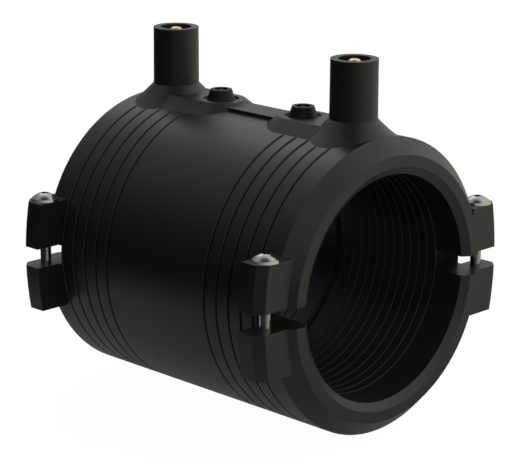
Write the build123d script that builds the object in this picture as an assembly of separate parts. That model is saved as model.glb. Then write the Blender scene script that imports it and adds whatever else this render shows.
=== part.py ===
from build123d import *
import math
import os

# An electrofusion coupler for polyethylene pipe: one moulded body with a heating wire in each socket,
# two shrouded contact pins, two fusion indicators and four clamp screws.
# Millimetres. +X runs along the pipe axis to the front socket, +Z points up the terminals,
# and the origin lies on the pipe axis at mid-length.

# ---- pipe and sockets ----
pipe_od = 63.0
socket_play = 0.25  # radial, between pipe and bore
body_length = 99.5
body_wall = 9.75
end_chamfer = 4.4
mouth_flare = 2.25  # radial growth of the bore at the mouth
mouth_depth = 1.6
stop_width = 2.0  # centre stop that the pipe ends butt against
stop_height = 1.0

# ---- grip grooves round each end ----
groove_count = 5
groove_pitch = 4.65
groove_start = 11.5  # end face to the first groove
groove_width = 0.9
groove_depth = 0.6

# ---- clamp: slots, lugs and screws ----
slot_depth = 10.7  # from the end face
slot_height = 5.6
lug_setback = 1.8  # end face to the lug's end
lug_length = 7.7
lug_reach = 7.7  # beyond the body wall, at the slot
lug_height = 15.7  # split plane to the lug's flat
lug_bulge_radius = 85.0
lug_chamfer = 2.4
screw_out = 1.5  # screw axis beyond the body wall
screw_shank_radius = 1.55
screw_clearance = 0.35  # radial, in the upper lug
screw_bite_gap = 0.02  # radial, in the lower lug
screw_length = 28.0
screw_tip_length = 1.5
washer_radius = 4.0
washer_thickness = 0.7
head_radius = 3.5
head_height = 1.5  # a shallow dome
drive_radius = 1.2
drive_depth = 1.2
drive_lobes = 6

# ---- terminals ----
terminal_inset = 14.8  # end face to the terminal axis
shroud_foot = 3.77  # body crown to the shroud's foot
shroud_height = 16.4
shroud_foot_radius = 6.62
shroud_rim_radius = 6.55
shroud_bore_radius = 4.5
shroud_bore_depth = 13.0
contact_radius = 2.0
contact_recess = 0.1  # tip below the rim
contact_tip_radius = 1.4
contact_anchor_radius = 2.8
contact_play = 0.02
contact_cover = 1.6  # plastic left between anchor and bore

# ---- fusion indicators on their drafted pads ----
indicator_spacing = 18.75  # terminal axis to indicator axis
pad_rise = 1.7  # above the body crown
pad_radius = 7.0
pad_draft = 52.0  # degrees from vertical, on the pads and the toe of the cone
draft_depth = 4.4  # how far the drafts run into the body
cone_knee = 3.2  # below the shroud's foot, where the 45 degree cone turns to the flatter toe
cone_knee_radius = 20.0
seat_radius = 5.1  # shallow recess round the indicator
seat_depth = 0.5
indicator_base_radius = 4.15
indicator_top_radius = 3.1
indicator_height = 2.7  # above the pad
indicator_cup_radius = 2.0
indicator_cup_depth = 1.5
indicator_stem_radius = 2.6
indicator_stem_length = 5.0
indicator_stem_play = 0.05
melt_well_depth = 8.0
riser_radius = 0.85
riser_play = 0.1
riser_recess = 0.15  # riser top below the cup's rim

# ---- raised bar between the pads ----
bar_half_width = 4.7
bar_rise = 0.74  # above the body crown

# ---- heating wire, pressed into the bore with its crest proud ----
wire_pitch = 3.11
wire_crest = 0.15  # inward, from the wire's seat
wire_seat_gap = 0.02
wire_width = 0.6
wire_inset = 10.4  # end face to the wire's outer end
wire_stop_gap = 2.5  # least, from the wire's inner end to the stop

# ---- derived ----
half_length = body_length / 2
bore_radius = pipe_od / 2 + socket_play
outer_radius = bore_radius + body_wall
buried = body_wall / 2  # how far the pieces on the outside root in the wall
terminal_x = half_length - terminal_inset
indicator_x = terminal_x - indicator_spacing
shroud_foot_z = outer_radius + shroud_foot
shroud_rim_z = shroud_foot_z + shroud_height
shroud_floor_z = shroud_rim_z - shroud_bore_depth
contact_foot_z = bore_radius + contact_cover
pad_top_z = outer_radius + pad_rise
seat_z = pad_top_z - seat_depth
wire_span = half_length - wire_inset - stop_width / 2 - wire_stop_gap
wire_turns = math.floor(2 * wire_span / wire_pitch) / 2
screw_x = half_length - lug_setback - lug_length / 2
screw_y = outer_radius + screw_out
drive_rim_z = lug_height + washer_thickness + head_height


def tube():
    """The plain body turned about the pipe axis: bore, centre stop, mouths, end chamfers and grooves."""
    stop_half = stop_width / 2
    stop_radius = bore_radius - stop_height
    mouth_start = half_length - mouth_depth
    half_profile = [
        (stop_half, stop_radius),
        (stop_half, bore_radius),
        (mouth_start, bore_radius),
        (half_length, bore_radius + mouth_flare),
        (half_length, outer_radius - end_chamfer),
        (half_length - end_chamfer, outer_radius),
    ]
    for i in range(groove_count):
        x = half_length - groove_start - i * groove_pitch
        half_profile += [
            (x + groove_width / 2, outer_radius),
            (x, outer_radius - groove_depth),
            (x - groove_width / 2, outer_radius),
        ]
    mirrored = [(-x, r) for x, r in reversed(half_profile)]
    outline = make_face(Polyline(*half_profile, *mirrored, close=True))
    return revolve(outline, Axis.X)


def lug_block(end, side):
    """One clamp lug before it is split: flat top and bottom, bulged side, chamfered towards the end face."""
    apex = outer_radius + lug_reach
    shoulder = apex - lug_bulge_radius + math.sqrt(lug_bulge_radius**2 - lug_height**2)
    root = outer_radius - buried
    with BuildPart() as block:
        with BuildSketch(Plane.YZ.offset(end * (half_length - lug_setback))):
            with BuildLine():
                Polyline(
                    (side * shoulder, -lug_height),
                    (side * root, -lug_height),
                    (side * root, lug_height),
                    (side * shoulder, lug_height),
                )
                ThreePointArc(
                    (side * shoulder, lug_height), (side * apex, 0), (side * shoulder, -lug_height)
                )
            make_face()
        extrude(amount=-end * lug_length)
        end_face = block.faces().sort_by(Axis.X)[-1 if end > 0 else 0]
        bulge_edge = end_face.edges().sort_by(Axis.Y)[-1 if side > 0 else 0]
        chamfer(bulge_edge, lug_chamfer)
    return block.part


def terminal_cone():
    """Solid of revolution under the shroud: 45 degrees at the top, easing to a flatter toe on the body."""
    top = shroud_foot_radius
    knee = top + cone_knee
    toe_drop = shroud_foot_z - cone_knee - (pad_top_z - draft_depth)
    toe = knee + toe_drop * math.tan(math.radians(pad_draft))
    with BuildPart() as cone:
        with BuildSketch(Plane.XZ):
            with BuildLine():
                side = FilletPolyline(
                    (top, shroud_foot_z),
                    (knee, shroud_foot_z - cone_knee),
                    (toe, pad_top_z - draft_depth),
                    radius=cone_knee_radius,
                )
                Polyline(side @ 1, (0, pad_top_z - draft_depth), (0, shroud_foot_z), side @ 0)
            make_face()
        revolve(axis=Axis.Z)
    return cone.part


def terminal_mass(end):
    """Shroud on its cone, with the drafted pad that runs inboard under the fusion indicator."""
    x = end * terminal_x
    shroud = Pos(x, 0, shroud_foot_z) * Cone(
        shroud_foot_radius, shroud_rim_radius, shroud_height, align=(Align.CENTER, Align.CENTER, Align.MIN)
    )
    middle = end * (terminal_x + indicator_x) / 2
    pad_outline = SlotCenterToCenter(indicator_spacing, 2 * pad_radius)
    pad = extrude(Pos(middle, 0, pad_top_z) * pad_outline, amount=-draft_depth, taper=-pad_draft)
    return shroud + Pos(x, 0, 0) * terminal_cone() + pad


def top_bar():
    """Low flat bar that joins the two pads along the crown."""
    top = outer_radius + bar_rise
    return Pos(0, 0, top) * Box(
        2 * indicator_x, 2 * bar_half_width, bar_rise + buried, align=(Align.CENTER, Align.CENTER, Align.MAX)
    )


def drill(x, y, top, bottom, radius):
    """A round cutter along Z."""
    return Pos(x, y, bottom) * Cylinder(radius, top - bottom, align=(Align.CENTER, Align.CENTER, Align.MIN))


def terminal_cuts(end):
    """Shroud hollow, contact pin seat, and the indicator's shallow recess with the well for its stem."""
    x = end * terminal_x
    hollow = drill(x, 0, shroud_rim_z, shroud_floor_z, shroud_bore_radius)
    seat = drill(x, 0, shroud_floor_z, contact_foot_z, contact_anchor_radius + contact_play)
    well = drill(
        end * indicator_x, 0, pad_top_z, pad_top_z - melt_well_depth, indicator_stem_radius + indicator_stem_play
    )
    recess = drill(end * indicator_x, 0, pad_top_z, seat_z, seat_radius)
    return [hollow, seat, well, recess]


def clamp_cuts(end):
    """The slot across one end, and the screw holes of its two lugs."""
    slot_end = half_length - slot_depth
    width = 2 * (outer_radius + lug_reach)
    slot = Pos(end * slot_end, 0, 0) * Box(
        slot_depth, width, slot_height, align=(Align.MIN if end > 0 else Align.MAX, Align.CENTER, Align.CENTER)
    )
    cuts = [slot]
    for side in (1, -1):
        place = (end * screw_x, side * screw_y)
        cuts.append(drill(*place, lug_height, 0, screw_shank_radius + screw_clearance))
        cuts.append(drill(*place, 0, -lug_height, screw_shank_radius + screw_bite_gap))
    return cuts


def coupler_body():
    body = tube()
    for end in (1, -1):
        for side in (1, -1):
            body += lug_block(end, side)
        body += terminal_mass(end)
    body += top_bar()
    for end in (1, -1):
        body -= terminal_cuts(end) + clamp_cuts(end)
    return body


def heating_wire(end):
    """The proud crest of the wire: a fine three-sided helix that starts over the slot and winds inwards."""
    seat = bore_radius - wire_seat_gap
    with BuildPart() as wire:
        with BuildLine() as path:
            Helix(wire_pitch, wire_turns * wire_pitch, seat)
        with BuildSketch(Plane.XZ):
            with BuildLine():
                Polyline(
                    (seat, -wire_width / 2), (seat - wire_crest, 0), (seat, wire_width / 2), close=True
                )
            make_face()
        sweep(path=path.wires()[0], is_frenet=True)
    along_pipe = Rot(0, 90, 0) * wire.part
    inner_end = half_length - wire_inset - wire_turns * wire_pitch
    placed = Pos(inner_end, 0, 0) * along_pipe
    return placed if end > 0 else Rot(0, 0, 180) * placed


def contact_pin(end):
    """Round contact with a domed tip, on the thicker anchor that holds it in the moulding."""
    tip_z = shroud_rim_z - contact_recess
    anchor = drill(0, 0, shroud_floor_z, contact_foot_z, contact_anchor_radius)
    pin = drill(0, 0, tip_z, shroud_floor_z, contact_radius)
    pin = fillet(pin.edges().sort_by(Axis.Z)[-1], contact_tip_radius)
    return Pos(end * terminal_x, 0, 0) * (anchor + pin)


def indicator_collar(end):
    """Truncated cone with a cup in its top, on the hollow stem that plugs into the pad."""
    rim_z = pad_top_z + indicator_height
    cone = Pos(0, 0, seat_z) * Cone(
        indicator_base_radius,
        indicator_top_radius,
        rim_z - seat_z,
        align=(Align.CENTER, Align.CENTER, Align.MIN),
    )
    stem = drill(0, 0, pad_top_z, pad_top_z - indicator_stem_length, indicator_stem_radius)
    collar = cone + stem
    collar -= drill(0, 0, rim_z, rim_z - indicator_cup_depth, indicator_cup_radius)
    collar -= drill(0, 0, rim_z, pad_top_z - indicator_stem_length, riser_radius + riser_play)
    return Pos(end * indicator_x, 0, 0) * collar


def indicator_riser(end):
    """The pin that melt pressure lifts: it stands in the collar, down to the floor of the well."""
    top = pad_top_z + indicator_height - riser_recess
    riser = drill(0, 0, top, pad_top_z - melt_well_depth, riser_radius)
    riser = chamfer(riser.edges().sort_by(Axis.Z)[-1], riser_radius / 4)
    return Pos(end * indicator_x, 0, 0) * riser


def clamp_screw(end, side):
    """Washer-head screw with a lobed drive recess; its thread bites in the lower lug."""
    washer = Pos(0, 0, lug_height) * Cone(
        washer_radius,
        washer_radius - washer_thickness / 2,
        washer_thickness,
        align=(Align.CENTER, Align.CENTER, Align.MIN),
    )
    dome_radius = (head_radius**2 + head_height**2) / (2 * head_height)
    dome = Pos(0, 0, drive_rim_z - dome_radius) * Sphere(dome_radius)
    head = dome & drill(0, 0, drive_rim_z, lug_height + washer_thickness, head_radius)
    shank_end = lug_height - screw_length + screw_tip_length
    shank = drill(0, 0, lug_height, shank_end, screw_shank_radius)
    tip = Pos(0, 0, shank_end) * Cone(
        screw_shank_radius / 2, screw_shank_radius, screw_tip_length, align=(Align.CENTER, Align.CENTER, Align.MAX)
    )
    recess = drill(0, 0, drive_rim_z, drive_rim_z - drive_depth, drive_radius * 0.72)
    for i in range(drive_lobes):
        lobe = drill(drive_radius * 0.75, 0, drive_rim_z, drive_rim_z - drive_depth, drive_radius * 0.25)
        recess += Rot(0, 0, i * 360 / drive_lobes) * lobe
    screw = washer + head + shank + tip - recess
    return Pos(end * screw_x, side * screw_y, 0) * screw


def write(node, shape):
    export_step(shape, os.path.join("parts", node + ".step"))


os.makedirs("parts", exist_ok=True)
write("coupler_body", coupler_body())
for end_name, end in (("front", 1), ("rear", -1)):
    write("heating_wire_" + end_name, heating_wire(end))
    write("contact_pin_" + end_name, contact_pin(end))
    write("indicator_collar_" + end_name, indicator_collar(end))
    write("indicator_riser_" + end_name, indicator_riser(end))
    for side_name, side in (("left", -1), ("right", 1)):
        write("clamp_screw_" + end_name + "_" + side_name, clamp_screw(end, side))
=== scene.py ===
import math

import bmesh
import bpy
from mathutils import Matrix, Vector


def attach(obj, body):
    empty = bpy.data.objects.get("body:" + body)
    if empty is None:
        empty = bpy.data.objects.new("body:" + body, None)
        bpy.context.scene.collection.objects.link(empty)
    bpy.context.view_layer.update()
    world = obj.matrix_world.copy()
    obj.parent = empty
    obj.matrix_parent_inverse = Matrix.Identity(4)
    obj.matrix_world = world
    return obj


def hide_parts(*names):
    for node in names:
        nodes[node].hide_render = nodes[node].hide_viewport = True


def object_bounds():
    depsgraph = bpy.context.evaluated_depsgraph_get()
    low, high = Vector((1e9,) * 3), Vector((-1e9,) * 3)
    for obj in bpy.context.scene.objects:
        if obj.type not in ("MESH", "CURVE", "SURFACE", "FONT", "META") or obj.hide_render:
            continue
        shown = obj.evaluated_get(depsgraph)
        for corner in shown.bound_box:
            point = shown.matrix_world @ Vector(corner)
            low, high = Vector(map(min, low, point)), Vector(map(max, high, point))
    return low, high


MM = 0.001

# ---- the moulding's own sizes, as in the part ----
BODY_RADIUS = 41.5 * MM
HALF_LENGTH = 49.75 * MM
END_CHAMFER = 4.4 * MM
BORE_RADIUS = 31.75 * MM
GROOVE_FLOOR = 40.9 * MM
SLOT_END = 39.05 * MM  # from mid-length
SLOT_HALF_HEIGHT = 2.8 * MM

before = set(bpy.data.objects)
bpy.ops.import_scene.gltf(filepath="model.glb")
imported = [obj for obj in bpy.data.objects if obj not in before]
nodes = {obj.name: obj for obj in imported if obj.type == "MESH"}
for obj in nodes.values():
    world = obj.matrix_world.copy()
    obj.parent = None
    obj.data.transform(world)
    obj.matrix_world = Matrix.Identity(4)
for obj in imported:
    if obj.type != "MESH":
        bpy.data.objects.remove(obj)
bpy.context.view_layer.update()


# ---- camera: the photograph's viewing angle ----
CAMERA_AZIMUTH = math.radians(45.376)
CAMERA_ELEVATION = math.radians(15.294)
CAMERA_ROLL = math.radians(0.31)
CAMERA_PLACE = Vector((402.374, -407.964, 163.283)) * MM
CAMERA_LENS = 143.8153


def camera():
    data = bpy.data.cameras.new("camera")
    data.sensor_fit = "HORIZONTAL"
    data.sensor_width = 36.0
    data.lens = CAMERA_LENS
    data.clip_start = 0.05
    data.clip_end = 20.0
    obj = bpy.data.objects.new("camera", data)
    bpy.context.scene.collection.objects.link(obj)
    back = Vector(
        (
            math.cos(CAMERA_AZIMUTH) * math.cos(CAMERA_ELEVATION),
            -math.sin(CAMERA_AZIMUTH) * math.cos(CAMERA_ELEVATION),
            math.sin(CAMERA_ELEVATION),
        )
    )
    right = (-back).cross(Vector((0, 0, 1))).normalized()
    up = back.cross(right)
    rolled_right = right * math.cos(CAMERA_ROLL) + up * math.sin(CAMERA_ROLL)
    rolled_up = up * math.cos(CAMERA_ROLL) - right * math.sin(CAMERA_ROLL)
    turn = Matrix((rolled_right, rolled_up, back)).transposed().to_4x4()
    obj.matrix_world = Matrix.Translation(CAMERA_PLACE) @ turn
    bpy.context.scene.camera = obj


# ---- node helpers: each takes and returns sockets ----
def graded(tree, source, low, high, to_low, to_high, soft=False):
    """Source between low and high carried over to between to_low and to_high, and held there outside."""
    ramp = tree.nodes.new("ShaderNodeMapRange")
    if soft:
        ramp.interpolation_type = "SMOOTHSTEP"
    ramp.inputs["From Min"].default_value = low
    ramp.inputs["From Max"].default_value = high
    ramp.inputs["To Min"].default_value = to_low
    ramp.inputs["To Max"].default_value = to_high
    tree.links.new(source, ramp.inputs["Value"])
    return ramp.outputs["Result"]


def both(tree, operation, first, second):
    node = tree.nodes.new("ShaderNodeMath")
    node.operation = operation
    tree.links.new(first, node.inputs[0])
    tree.links.new(second, node.inputs[1])
    return node.outputs["Value"]


def magnitude(tree, source):
    node = tree.nodes.new("ShaderNodeMath")
    node.operation = "ABSOLUTE"
    tree.links.new(source, node.inputs[0])
    return node.outputs["Value"]


def band(tree, source, low, high, edge):
    """1 between low and high, fading to 0 over edge on either side."""
    rise = graded(tree, source, low - edge, low, 0, 1)
    fall = graded(tree, source, high + edge, high, 0, 1)
    return both(tree, "MULTIPLY", rise, fall)


def along(tree, direction, axis):
    dot = tree.nodes.new("ShaderNodeVectorMath")
    dot.operation = "DOT_PRODUCT"
    dot.inputs[1].default_value = axis
    tree.links.new(direction, dot.inputs[0])
    return dot.outputs["Value"]


def mixed(tree, share, first, second):
    """Blend of two colours by share. The first is a colour or a socket, the second a colour."""
    mix = tree.nodes.new("ShaderNodeMix")
    mix.data_type = "RGBA"
    if isinstance(first, tuple):
        mix.inputs[6].default_value = (*first, 1)
    else:
        tree.links.new(first, mix.inputs[6])
    mix.inputs[7].default_value = (*second, 1)
    tree.links.new(share, mix.inputs["Factor"])
    return mix.outputs[2]


def noise(tree, coords, scale, detail):
    made = tree.nodes.new("ShaderNodeTexNoise")
    made.inputs["Scale"].default_value = scale
    made.inputs["Detail"].default_value = detail
    tree.links.new(coords.outputs["Object"], made.inputs["Vector"])
    return made.outputs["Fac"]


# ---- materials ----
PLASTIC_PATCHES = 60.0  # noise scale of the patches of slightly different gloss
PLASTIC_GRAIN = 2500.0  # noise scale of the moulded grain
PLASTIC_EDGE = 0.2 * MM  # softened edge radius
METAL_HAZE = 900.0  # noise scale of the haze on metal


def material(name):
    made = bpy.data.materials.new(name)
    made.use_nodes = True
    return made, made.node_tree, made.node_tree.nodes["Principled BSDF"]


def rough_by(tree, shader, fac, rough, spread):
    tree.links.new(graded(tree, fac, 0, 1, rough - spread, rough + spread), shader.inputs["Roughness"])


def plastic(name, colour, rough):
    """Satin moulding: patches of slightly different gloss, a fine grain and softly rounded edges."""
    made, tree, shader = material(name)
    coords = tree.nodes.new("ShaderNodeTexCoord")
    rough_by(tree, shader, noise(tree, coords, PLASTIC_PATCHES, 4.0), rough, 0.03)
    shader.inputs["Base Color"].default_value = (*colour, 1)
    edges = tree.nodes.new("ShaderNodeBevel")
    edges.samples = 6
    edges.inputs["Radius"].default_value = PLASTIC_EDGE
    bump = tree.nodes.new("ShaderNodeBump")
    bump.inputs["Strength"].default_value = 0.15
    bump.inputs["Distance"].default_value = 0.04 * MM
    tree.links.new(noise(tree, coords, PLASTIC_GRAIN, 2.0), bump.inputs["Height"])
    tree.links.new(edges.outputs["Normal"], bump.inputs["Normal"])
    tree.links.new(bump.outputs["Normal"], shader.inputs["Normal"])
    return made


def tint_body(made, colour, bore_colour, painted_shade_colour):
    """Duller skin inside the bore, where the winding mandrel shaped it, and painted shade: grooves and slot
    ends darker and less glossy.
    """
    tree = made.node_tree
    shader = tree.nodes["Principled BSDF"]
    coords = tree.nodes.new("ShaderNodeTexCoord")
    flat = tree.nodes.new("ShaderNodeVectorMath")
    flat.operation = "MULTIPLY"
    flat.inputs[1].default_value = (0, 1, 1)
    tree.links.new(coords.outputs["Object"], flat.inputs[0])
    length = tree.nodes.new("ShaderNodeVectorMath")
    length.operation = "LENGTH"
    tree.links.new(flat.outputs["Vector"], length.inputs[0])
    radius = length.outputs["Value"]
    axes = tree.nodes.new("ShaderNodeSeparateXYZ")
    tree.links.new(coords.outputs["Object"], axes.inputs["Vector"])
    from_middle = magnitude(tree, axes.outputs["X"])

    bore = band(tree, radius, 0, BORE_RADIUS + 0.45 * MM, 1.3 * MM)
    # painted shade mask: the floors and walls of the barrel grooves
    groove_shade = both(
        tree,
        "MULTIPLY",
        band(tree, from_middle, 0, SLOT_END - 0.25 * MM, 0.1 * MM),
        band(tree, radius, GROOVE_FLOOR - 0.9 * MM, BODY_RADIUS - 0.3 * MM, 0.2 * MM),
    )
    slot_wall = both(
        tree,
        "MULTIPLY",
        band(tree, axes.outputs["Z"], 0.05 * MM - SLOT_HALF_HEIGHT, SLOT_HALF_HEIGHT - 0.05 * MM, 0.1 * MM),
        band(tree, radius, BORE_RADIUS + 0.25 * MM, BODY_RADIUS - 0.5 * MM, 0.2 * MM),
    )
    # painted shade mask: the end walls of the slots
    slot_end_shade = both(
        tree,
        "MULTIPLY",
        band(tree, from_middle, SLOT_END - 0.05 * MM, SLOT_END + 0.05 * MM, 0.1 * MM),
        slot_wall,
    )
    # painted shade in the grooves and slot ends: darker colour and lower gloss, standing in for the light that
    # does not reach them
    painted_shade = both(tree, "MAXIMUM", groove_shade, slot_end_shade)
    skin_colour = mixed(tree, painted_shade, mixed(tree, bore, colour, bore_colour), painted_shade_colour)
    tree.links.new(skin_colour, shader.inputs["Base Color"])
    tree.links.new(graded(tree, painted_shade, 0, 1, 0.5, 0.1), shader.inputs["Specular IOR Level"])


def metal(name, colour, rough):
    made, tree, shader = material(name)
    coords = tree.nodes.new("ShaderNodeTexCoord")
    rough_by(tree, shader, noise(tree, coords, METAL_HAZE, 3.0), rough, 0.05)
    shader.inputs["Base Color"].default_value = (*colour, 1)
    shader.inputs["Metallic"].default_value = 1.0
    return made


def wear(obj, made):
    obj.data.materials.clear()
    obj.data.materials.append(made)


def dress(prefix, made):
    for name, obj in nodes.items():
        if name.startswith(prefix):
            wear(obj, made)


# ---- the body with its cones trimmed ----
def chamfer_cutter(end):
    """Wedge-shaped arc over the crown that lies outside one end chamfer, a hair clear of its surface."""
    clear = 0.03 * MM
    steps = 32
    reach = math.radians(27)
    past_end = HALF_LENGTH + MM
    depth = 1.8 * END_CHAMFER
    slope = BODY_RADIUS - END_CHAMFER + clear  # radius of the chamfer's line at the end face
    profile = [
        (past_end, slope - MM),
        (HALF_LENGTH - depth, slope + depth),
        (past_end, slope + depth),
    ]
    mesh = bmesh.new()
    rings = []
    for i in range(steps + 1):
        turn = -reach + 2 * reach * i / steps
        rings.append([mesh.verts.new((end * x, r * math.sin(turn), r * math.cos(turn))) for x, r in profile])
    for before, after in zip(rings, rings[1:]):
        for k in range(3):
            mesh.faces.new((before[k], before[(k + 1) % 3], after[(k + 1) % 3], after[k]))
    mesh.faces.new(rings[0])
    mesh.faces.new(rings[-1])
    bmesh.ops.recalc_face_normals(mesh, faces=mesh.faces)
    data = bpy.data.meshes.new("cutter")
    mesh.to_mesh(data)
    mesh.free()
    cutter = bpy.data.objects.new("cutter", data)
    bpy.context.scene.collection.objects.link(cutter)
    return cutter


def body_skin():
    """The body with the toes of its two cones trimmed flush with the end chamfers."""
    source = nodes["coupler_body"]
    skin = bpy.data.objects.new("body_skin", source.data.copy())
    bpy.context.scene.collection.objects.link(skin)
    cutters = [chamfer_cutter(end) for end in (1, -1)]
    for cutter in cutters:
        trim = skin.modifiers.new("trim", "BOOLEAN")
        trim.operation = "DIFFERENCE"
        trim.solver = "EXACT"
        trim.object = cutter
    depsgraph = bpy.context.evaluated_depsgraph_get()
    trimmed = bpy.data.meshes.new_from_object(skin.evaluated_get(depsgraph))
    if "custom_normal" in trimmed.attributes:
        trimmed.attributes.remove(trimmed.attributes["custom_normal"])
    for face in trimmed.polygons:
        face.use_smooth = True
    trimmed.set_sharp_from_angle(angle=math.radians(15))
    skin.modifiers.clear()
    skin.data = trimmed
    for cutter in cutters:
        bpy.data.objects.remove(cutter)
    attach(skin, "root")
    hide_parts("coupler_body")
    return skin


PE_COLOUR = (0.013, 0.011, 0.011)
black_pe = plastic("black_pe", PE_COLOUR, 0.40)
# the third colour is painted shade for the grooves and slot ends
tint_body(black_pe, PE_COLOUR, (0.018, 0.0165, 0.015), (0.003, 0.003, 0.003))
indicator_black = plastic("indicator_black", (0.009, 0.009, 0.010), 0.46)
indicator_black.node_tree.nodes["Principled BSDF"].inputs["Specular IOR Level"].default_value = 0.25
dress("coupler_body", black_pe)
wear(body_skin(), black_pe)
dress("heating_wire", plastic("wire_skin", (0.020, 0.018, 0.017), 0.45))
dress("indicator_", indicator_black)
dress("contact_pin", metal("contact_brass", (0.85, 0.58, 0.44), 0.2))
dress("clamp_screw", metal("screw_steel", (0.42, 0.41, 0.395), 0.12))

camera()


# ---- floor, backdrop and light ----
FLOOR_RADIUS = 0.14
FLOOR_DROP = 0.3 * MM  # below the lowest point of the part
FLOOR_WHITE = 1.22  # strength that brings the floor to white at the camera's share
CAMERA_SHARE = 0.8
REFLECTED_SHARE = 0.2
TENT_RADIUS = 1.6


def floor_disc():
    """A disc under the coupler, white with the object's shadow to the camera, and pale to everything else."""
    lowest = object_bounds()[0][2]
    bpy.ops.mesh.primitive_circle_add(
        vertices=64, radius=FLOOR_RADIUS, fill_type="NGON", location=(0, 0, lowest - FLOOR_DROP)
    )
    disc = bpy.context.object
    disc.name = "floor"
    made, tree, shader = material("floor_white")
    shader.inputs["Base Color"].default_value = (0.3, 0.3, 0.3, 1)
    shader.inputs["Roughness"].default_value = 0.9
    glow = tree.nodes.new("ShaderNodeEmission")
    glow.inputs["Strength"].default_value = FLOOR_WHITE
    path = tree.nodes.new("ShaderNodeLightPath")
    seen = graded(tree, path.outputs["Is Camera Ray"], 0, 1, 0, CAMERA_SHARE)
    reflected = both(tree, "MAXIMUM", path.outputs["Is Glossy Ray"], path.outputs["Is Transmission Ray"])
    share = both(tree, "MAXIMUM", seen, graded(tree, reflected, 0, 1, 0, REFLECTED_SHARE))
    mix = tree.nodes.new("ShaderNodeMixShader")
    tree.links.new(share, mix.inputs["Fac"])
    tree.links.new(shader.outputs["BSDF"], mix.inputs[1])
    tree.links.new(glow.outputs["Emission"], mix.inputs[2])
    tree.links.new(mix.outputs["Shader"], tree.nodes["Material Output"].inputs["Surface"])
    disc.data.materials.append(made)


def white_world():
    """Plain white at strength 1, for the camera and for every reflection."""
    world = bpy.data.worlds.new("white")
    bpy.context.scene.world = world
    world.use_nodes = True
    white = world.node_tree.nodes["Background"]
    white.inputs["Color"].default_value = (1, 1, 1, 1)
    white.inputs["Strength"].default_value = 1.0


def studio_tent():
    """A graded tent round the set, clear above and at the back right, dark at the left and right overhead."""
    bpy.ops.mesh.primitive_uv_sphere_add(segments=48, ring_count=24, radius=TENT_RADIUS)
    tent = bpy.context.object
    tent.name = "tent"
    made, tree, shader = material("tent_cloth")
    tree.nodes.remove(shader)
    coords = tree.nodes.new("ShaderNodeTexCoord")
    unit = tree.nodes.new("ShaderNodeVectorMath")
    unit.operation = "NORMALIZE"
    tree.links.new(coords.outputs["Object"], unit.inputs[0])
    direction = unit.outputs["Vector"]
    lean = graded(tree, along(tree, direction, (0.20, 0.31, 0.52)), -0.33, 0.67, 0.02, 1.0, soft=True)
    ceiling = graded(tree, along(tree, direction, (0.12, -0.18, 0.976)), 0.80, 0.97, 1.0, 0.12)
    bounce = graded(tree, along(tree, direction, (0, 0, 1)), -0.25, -1.0, 0.0, 0.42)
    clear = both(tree, "ADD", both(tree, "MULTIPLY", lean, ceiling), bounce)
    warmth = graded(tree, along(tree, direction, (0.5, 0.5, -0.3)), -0.6, 0.6, 0.0, 1.0)
    colour = tree.nodes.new("ShaderNodeVectorMath")
    colour.operation = "SCALE"
    tree.links.new(mixed(tree, warmth, (0.80, 0.92, 1.0), (0.97, 1.0, 0.81)), colour.inputs[0])
    tree.links.new(clear, colour.inputs["Scale"])
    cloth = tree.nodes.new("ShaderNodeBsdfTransparent")
    tree.links.new(colour.outputs["Vector"], cloth.inputs["Color"])
    tree.links.new(cloth.outputs["BSDF"], tree.nodes["Material Output"].inputs["Surface"])
    tent.data.materials.append(made)
    tent.visible_camera = False


def softbox(name, place, size, power):
    data = bpy.data.lights.new(name, "AREA")
    data.size = size
    data.energy = power
    obj = bpy.data.objects.new(name, data)
    bpy.context.scene.collection.objects.link(obj)
    obj.location = place
    obj.rotation_euler = (-Vector(place)).to_track_quat("-Z", "Y").to_euler()


floor_disc()
white_world()
studio_tent()
softbox("left", place=(-0.6, 0.35, 0.6), size=0.4, power=0.4)

bpy.context.scene.view_settings.view_transform = "Standard"
